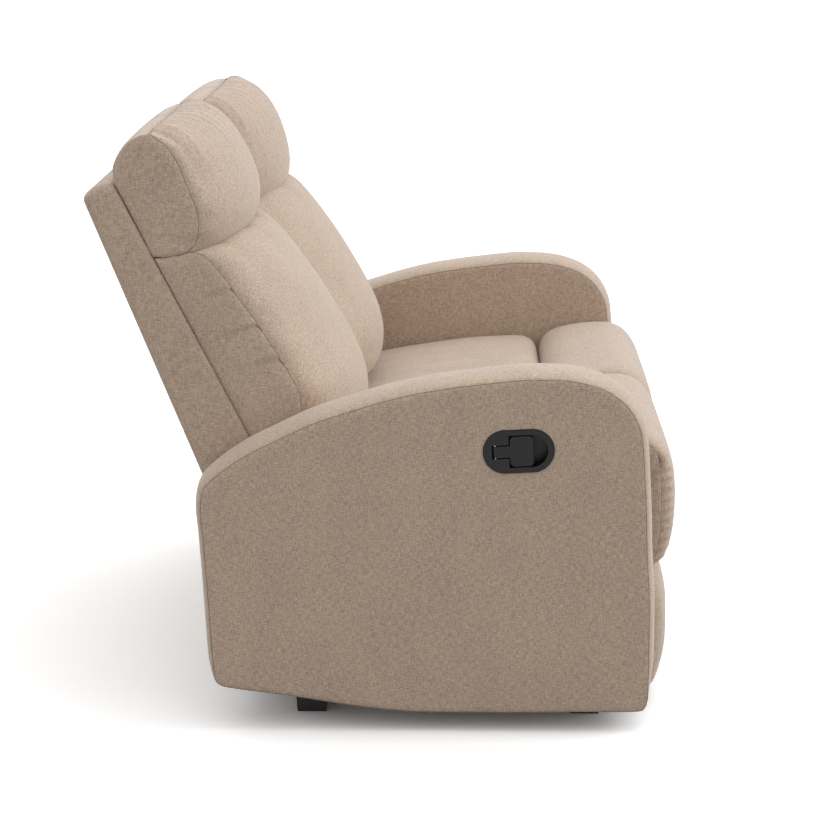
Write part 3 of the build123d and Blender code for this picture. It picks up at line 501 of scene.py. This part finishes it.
# A hollow near each side: depth in m, height and reach in mm, and place and reach across
BACK_SINK = (0.004, 640, 120, 0.72, 0.16)
SEAM_HOLLOWS = (            # across the side seams: height in mm, depth in m and reach in mm
    (672, 0.0040, 34),
    (600, 0.0032, 30),
    (738, 0.0025, 30),
)
HOLLOW_ACROSS = (0.97, 0.13)    # place and reach across of these hollows
HOLLOW_SLANT = 26               # and how far they rise from the pad's middle to its seam, in mm
SIDE_CREASES = (            # start (Y, Z) in mm, fall, width in mm and depth in m
    ((205, 668), 0.30, 7, 0.004),
    ((178, 610), 0.25, 8, 0.003),
    ((235, 735), 0.35, 7, 0.003),
)

HEAD_ROWS, HEAD_COLS = 190, 121
HEAD_CROWN = [
    (381, 783), (335, 781), (290, 780), (251, 787), (225, 810), (215, 840), (214, 866), (220, 895),
    (235, 930), (256, 962), (284, 989), (322, 1005), (374, 997), (412, 985), (439, 960), (453, 936),
    (452, 920), (445, 911),
]
HEAD_SIDE = [
    (381, 783), (362, 784), (345, 786), (326, 791), (312, 803), (306, 822), (305, 843), (310, 869),
    (323, 902), (337, 937), (352, 962), (369, 977), (388, 988), (416, 977), (436, 956), (446, 937),
    (447, 922), (445, 911),
]
HEAD_SEAM = 12 / 17         # where the seam across the headrest's top lies along its outline
HEAD_SEAM_ROW = round(HEAD_SEAM * (HEAD_ROWS - 1))
HEAD_SEAM_START = 22        # first row of the side seams, which end at the top seam
TOP_SEAM_COLS = slice(2, -2)
REAR_SEAM_ROWS = 40         # how far the seam runs down the rear from the top seam, in rows
HEAD_LEAN = {"right": 0.0, "left": math.radians(9)}     # how far each headrest has slumped forward
LEAN_PIVOT = (0.400, 0.800)
LEAN_ENDS = (0.15, 0.25)    # shares of the outline, at its start and end, that the shell holds back
HEAD_PLEAT = 0.0021         # depth of the two rows of pleats that run forward from the seam
PLEAT_REACH = 0.15          # share of the outline over which they die out
HEAD_RISE = 0.0015          # how far the cloth stands up in front of the seam
TOP_SINK = 0.0040           # depth of the seam across the top
REAR_SINK = 0.0030          # and of the seam down the rear
PINCH_RIDGE = (0.0045, 0.84, 0.06)      # fold near each end of the top seam: height, place and reach across
PINCH_VALLEY = (0.0040, 0.95, 0.04)     # and the valley beside it
HEAD_PUCKER = 0.0015
HEAD_SINK = 0.005           # depth of the hollow at each side seam


def back_folds(u, v, y, z):
    """Pleats below the headrest that come and go along the outline, less a hump for each hollow at the side
    seams and near the sides, and a slow slanting sine for the slack cloth, which dies out at the seams."""
    start, full, fade, end = GATHER_RUN
    top = ramp(u, start, full) * ramp(u, end, fade)
    wander = v + 0.15 * (u - 0.7) * np.sin(3 * v)
    lift = GATHER * pleats(wander, seed=4, count=7) * top * (1 - np.abs(v) ** 6)
    sink, sink_height, sink_reach, place, wide = BACK_SINK
    for s in (-1, 1):
        slant = HOLLOW_SLANT * (v * s - 0.9)
        for height, depth, reach in SEAM_HOLLOWS:
            lift = lift - depth * hump(z - slant, height, reach) * hump(v * s, *HOLLOW_ACROSS)
        lift = lift - sink * hump(z, sink_height, sink_reach) * hump(v * s, place, wide)
    return lift + BACK_SLACK * np.sin(z / 47 + 3 * v) * (1 - np.abs(v) ** 3)


def back_creases(t, y, z):
    """Creases of the side panel that run down and to the rear from its seam: a ridge above a valley."""
    lift = 0
    for (y0, z0), fall, wide, depth in SIDE_CREASES:
        line = z - z0 + fall * (y - y0)
        lift = lift + depth * (hump(line, wide, wide) - hump(line, 0, wide)) * (1 - t) ** 1.5
    return lift


def leaning(turn):
    """A slump of a headrest: each point of its outline moves by turn times its distance from LEAN_PIVOT,
    square to that distance, and less towards both ends, which stay fixed to the shell."""
    def lean(line):
        u = np.linspace(0, 1, len(line))
        free = np.clip(np.minimum(u / LEAN_ENDS[0], (1 - u) / LEAN_ENDS[1]), 0, 1)
        free = free * free * (3 - 2 * free)
        d = line - np.array(LEAN_PIVOT)
        return line + np.stack([-d[:, 1], d[:, 0]], 1) * turn * free[:, None]
    return lean


def head_folds(u, v, y, z):
    """Two rows of pleats that run forward from the top seam and die out as e to the power
    -(distance / PLEAT_REACH)^1.6, less a narrow hump for each sunk seam. Near both ends of the top seam a
    ridge and a valley are humps across, puckers low at the sides are a fine sine, and a wide hump hollows
    each side seam."""
    ahead = np.clip(HEAD_SEAM - u, 0, 1)
    near = np.exp(-(ahead / PLEAT_REACH) ** 1.6) * (u <= HEAD_SEAM)
    wander = v + 0.10 * ahead * np.sin(4 * v + 1)
    rows = pleats(wander, seed=11, count=27) + pleats(wander, seed=5, count=15)
    lift = HEAD_PLEAT * rows * near * (1 - np.abs(v) ** 8) + HEAD_RISE * near
    lift = lift - TOP_SINK * hump(u, HEAD_SEAM, 0.010)
    lift = lift - REAR_SINK * hump(v, 0, 0.03) * (u > HEAD_SEAM) * ramp(u, 0.93, 0.88)
    pinch = ramp(ahead, 0, 0.03) * hump(ahead, 0, 0.12)
    for s in (-1, 1):
        lift = lift + PINCH_RIDGE[0] * pinch * hump(v * s, *PINCH_RIDGE[1:])
        lift = lift - PINCH_VALLEY[0] * pinch * hump(v * s, *PINCH_VALLEY[1:])
        lift = lift + HEAD_PUCKER * np.sin(z / 6.5) * hump(v * s, 0.97, 0.06) * ramp(z, 880, 800)
        lift = lift - HEAD_SINK * hump(z, 930, 45) * hump(v * s, 0.93, 0.1)
    return lift


def back(name, sign):
    """One back: the shell, the cushion and the headrest, with their seams."""
    c = sign * CENTRE
    body = f"{name}_back"
    cover = soft_copy(f"{name}_back_shell", f"{name}_back_cover", rounds=8)
    dress(cover, body, f"{name}_back_shell", fill=0.8)
    soft = dict(p=2.0, q=0.55, bulge=0.005, lip=0.03)
    obj, grid = pad(f"{name}_back_pillow", BACK_CROWN, BACK_SIDE, c, puff=PUFF[name]["back"], rows=BACK_ROWS,
                    cols=BACK_COLS, folds=back_folds, creases=back_creases, **soft)
    dress(obj, body, f"{name}_back_cushion", fill=0.7)
    for col, side in ((0, "right"), (-1, "left")):
        dress(seam_on(f"{name}_back_seam_{side}", grid, BACK_SEAM_ROWS, col), body, mat=SEAM_SHADED)
    obj, grid = pad(f"{name}_head_pillow", HEAD_CROWN, HEAD_SIDE, c, puff=PUFF[name]["head"], rows=HEAD_ROWS,
                    cols=HEAD_COLS, folds=head_folds, slump=leaning(HEAD_LEAN[name]), **soft)
    dress(obj, body, f"{name}_headrest", fill=0.75)
    row = HEAD_SEAM_ROW
    front = slice(HEAD_SEAM_START, row + 1)
    for col, side in ((0, "right"), (-1, "left")):
        dress(seam_on(f"{name}_head_seam_{side}", grid, front, col), body, mat=SEAM_SHADED)
    dress(seam_on(f"{name}_head_seam_top", grid, row, TOP_SEAM_COLS), body, mat=SEAM_SHADED)
    rear = slice(row, row + REAR_SEAM_ROWS)
    dress(seam_on(f"{name}_head_seam_rear", grid, rear, HEAD_COLS // 2), body, mat=SEAM_SHADED)


# Seat and legrest

SEAT_CROWN = [
    (130, 352), (-120, 348), (-278, 348), (-286, 380), (-286, 418), (-280, 444), (-265, 457), (-240, 461),
    (-170, 458), (-100, 450), (-20, 438), (50, 424), (88, 415), (116, 398), (130, 374),
]
SEAT_SIDE = [
    (130, 352), (-120, 348), (-274, 348), (-284, 378), (-284, 410), (-278, 434), (-264, 446), (-240, 450),
    (-170, 446), (-100, 438), (-20, 426), (50, 412), (88, 404), (116, 390), (130, 370),
]
KNEE_CROWN = [
    (-300, 352), (-288, 380), (-287, 422), (-293, 450), (-306, 466), (-330, 477), (-365, 484), (-405, 488),
    (-436, 487), (-462, 476), (-483, 451), (-494, 420), (-498, 384), (-498, 342), (-494, 304), (-486, 275),
    (-473, 255), (-452, 249), (-425, 250), (-419, 258),
]
KNEE_SIDE = [
    (-300, 352), (-290, 380), (-290, 416), (-297, 440), (-309, 454), (-332, 465), (-365, 472), (-405, 475),
    (-434, 472), (-455, 460), (-467, 440), (-470, 412), (-471, 380), (-471, 340), (-469, 306), (-465, 282),
    (-456, 266), (-445, 259), (-425, 258), (-419, 264),
]
LOW_CROWN = [
    (-419, 36), (-430, 27), (-455, 25), (-471, 36), (-481, 66), (-488, 104), (-490, 150), (-488, 188),
    (-481, 216), (-468, 235), (-450, 241), (-430, 241), (-419, 238),
]
LOW_SIDE = [
    (-419, 44), (-424, 41), (-432, 41), (-440, 48), (-446, 68), (-450, 104), (-452, 150), (-450, 186),
    (-446, 210), (-440, 226), (-432, 232), (-424, 233), (-419, 231),
]
KNEE_ROWS, KNEE_COLS = 300, 91
KNEE_SEAM_ROWS = slice(10, -10)
KNEE_PLEAT = (-466, 434)        # where the roll's cloth is pinched at its side seams, (Y, Z) in mm
KNEE_PINCH = 0.010              # depth of that pleat
KNEE_PUCKER = 0.0011
PUCKER_TOP = 430                # height up to which the side seams pucker, in mm
KNEE_SLACK = 0.0010
SEAT_SLACK = 0.0012
SEAT_RIPPLE = 0.0010
LOW_SLACK = 0.0009


def seat_folds(u, v, y, z):
    """A slow slanting sine for the slack cloth, dying out at the side seams, and ripples over the top."""
    slack = SEAT_SLACK * np.sin(y / 38 + 2.2 * v) * (1 - v ** 4)
    return slack + SEAT_RIPPLE * ripple(v, seed=21, count=4) * ramp(z, 400, 440)


def knee_folds(u, v, y, z):
    """A slow slanting sine for the slack cloth, a fine sine along the side seams for their puckers, and a
    hump pinched in at the roll's upper corners."""
    lift = KNEE_SLACK * np.sin(y / 30 + 2 * v) * (1 - v ** 4)
    pinch = hump(y, KNEE_PLEAT[0], 11) * hump(z, KNEE_PLEAT[1], 13)
    for s in (-1, 1):
        lift = lift + KNEE_PUCKER * np.sin(z / 2.8) * hump(v * s, 0.95, 0.06) * (z < PUCKER_TOP)
        lift = lift - KNEE_PINCH * pinch * hump(v * s, 0.98, 0.10)
    return lift


def low_folds(u, v, y, z):
    """A slow slanting sine for the slack cloth, which dies out at the side seams."""
    return LOW_SLACK * np.sin(z / 24 + 2.5 * v) * (1 - v ** 6)


def seat(name, sign):
    """One seat: its cushion, the pad that runs over the knee to the legrest, and the lower legrest pad."""
    c = sign * CENTRE
    obj, grid = pad(f"{name}_seat_pillow", SEAT_CROWN, SEAT_SIDE, c, p=8, q=0.5, folds=seat_folds)
    dress(obj, f"{name}_seat", f"{name}_seat_cushion", fill=0.85)
    obj, grid = pad(f"{name}_knee_pillow", KNEE_CROWN, KNEE_SIDE, c, p=14, q=0.5, rows=KNEE_ROWS,
                    cols=KNEE_COLS, folds=knee_folds)
    nodes = [f"{name}_{node}" for node in ("seat_front_pad", "knee_bend_pad", "legrest_upper_pad")]
    dress(obj, None, *nodes, fill=0.8)
    bent = [obj]
    for col, side in ((0, "right"), (-1, "left")):
        bent.append(dress(seam_on(f"{name}_knee_seam_{side}", grid, KNEE_SEAM_ROWS, col), None, mat=SEAM_SHADED))
    for piece in bent:
        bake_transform(piece)
    obj, grid = pad(f"{name}_low_pillow", LOW_CROWN, LOW_SIDE, c, p=8, q=0.5, folds=low_folds)
    dress(obj, f"{name}_legrest", f"{name}_legrest_lower_pad", fill=0.8)


for side_name, side_sign in SIDES.items():
    arm(side_name, side_sign)
    back(side_name, side_sign)
    seat(side_name, side_sign)
dress(soft_copy("rear_apron", "rear_apron_cover", rounds=4), "base", "rear_apron", fill=0.8)

for node, obj in frame["nodes"].items():
    if obj.hide_render:
        continue
    obj.data.materials.clear()
    obj.data.materials.append(LOOKS[SLOT[node]])


# Stage, light and camera

FLOOR_HALF = 30.0
FLOOR_UNSEEN, FLOOR_SEEN = 0.2, 1.25        # the floor's brightness to bounced light and to the eye
WORLD_UNSEEN, WORLD_SEEN = 0.96, 1.0
CAMERA_PITCH = math.radians(12.665)
CAMERA_YAW = math.radians(1.311)
CAMERA_PLACE = (-4.690, -0.149, 1.4537)
CAMERA_LENS = 110.30
CAMERA_SENSOR = 36


def floor_paint():
    """A white floor that keeps the sofa's shadow and throws little light back at its sides."""
    mat = bpy.data.materials.new("floor_white")
    mat.use_nodes = True
    nt = mat.node_tree
    nt.nodes.clear()
    diffuse = nt.nodes.new("ShaderNodeBsdfDiffuse")
    out = nt.nodes.new("ShaderNodeOutputMaterial")
    nt.links.new(seen_direct(nt, FLOOR_UNSEEN, FLOOR_SEEN), diffuse.inputs["Color"])
    nt.links.new(diffuse.outputs["BSDF"], out.inputs["Surface"])
    return mat


def lay_floor():
    """A wide flat floor."""
    h = FLOOR_HALF
    mesh = bpy.data.meshes.new("floor")
    mesh.from_pydata([(-h, -h, 0), (h, -h, 0), (h, h, 0), (-h, h, 0)], [], [(0, 1, 2, 3)])
    floor = bpy.data.objects.new("floor", mesh)
    bpy.context.scene.collection.objects.link(floor)
    floor.data.materials.append(floor_paint())


def light_world():
    """An even white sky all round."""
    world = bpy.data.worlds.new("studio")
    bpy.context.scene.world = world
    world.use_nodes = True
    nt = world.node_tree
    background = nt.nodes["Background"]
    background.inputs["Color"].default_value = (1, 1, 1, 1)
    nt.links.new(seen_direct(nt, WORLD_UNSEEN, WORLD_SEEN), background.inputs["Strength"])


def soft_sun(name, energy, spread, direction):
    """A wide, soft light from one direction."""
    light = bpy.data.lights.new(name, "SUN")
    light.energy = energy
    light.angle = math.radians(spread)
    obj = bpy.data.objects.new(name, light)
    obj.rotation_euler = Vector(direction).to_track_quat("-Z", "Y").to_euler()
    bpy.context.scene.collection.objects.link(obj)


def place_camera():
    """The camera 4 m out from the right arm and above it, looking along the sofa's width and down."""
    level = math.cos(CAMERA_PITCH)
    forward = Vector((math.cos(CAMERA_YAW) * level, math.sin(CAMERA_YAW) * level, -math.sin(CAMERA_PITCH)))
    right = Vector((math.sin(CAMERA_YAW), -math.cos(CAMERA_YAW), 0))
    up = right.cross(forward)
    data = bpy.data.cameras.new("camera")
    data.sensor_width = CAMERA_SENSOR
    data.lens = CAMERA_LENS
    camera = bpy.data.objects.new("camera", data)
    turn = Matrix((right, up, -forward)).transposed().to_4x4()
    camera.matrix_world = Matrix.Translation(CAMERA_PLACE) @ turn
    bpy.context.scene.collection.objects.link(camera)
    bpy.context.scene.camera = camera


lay_floor()
light_world()
soft_sun("high_light", energy=0.45, spread=50, direction=(-0.25, 0.20, -1))
soft_sun("front_light", energy=1.15, spread=40, direction=(-0.20, 0.90, -0.50))
place_camera()
bpy.context.scene.view_settings.view_transform = "Standard"
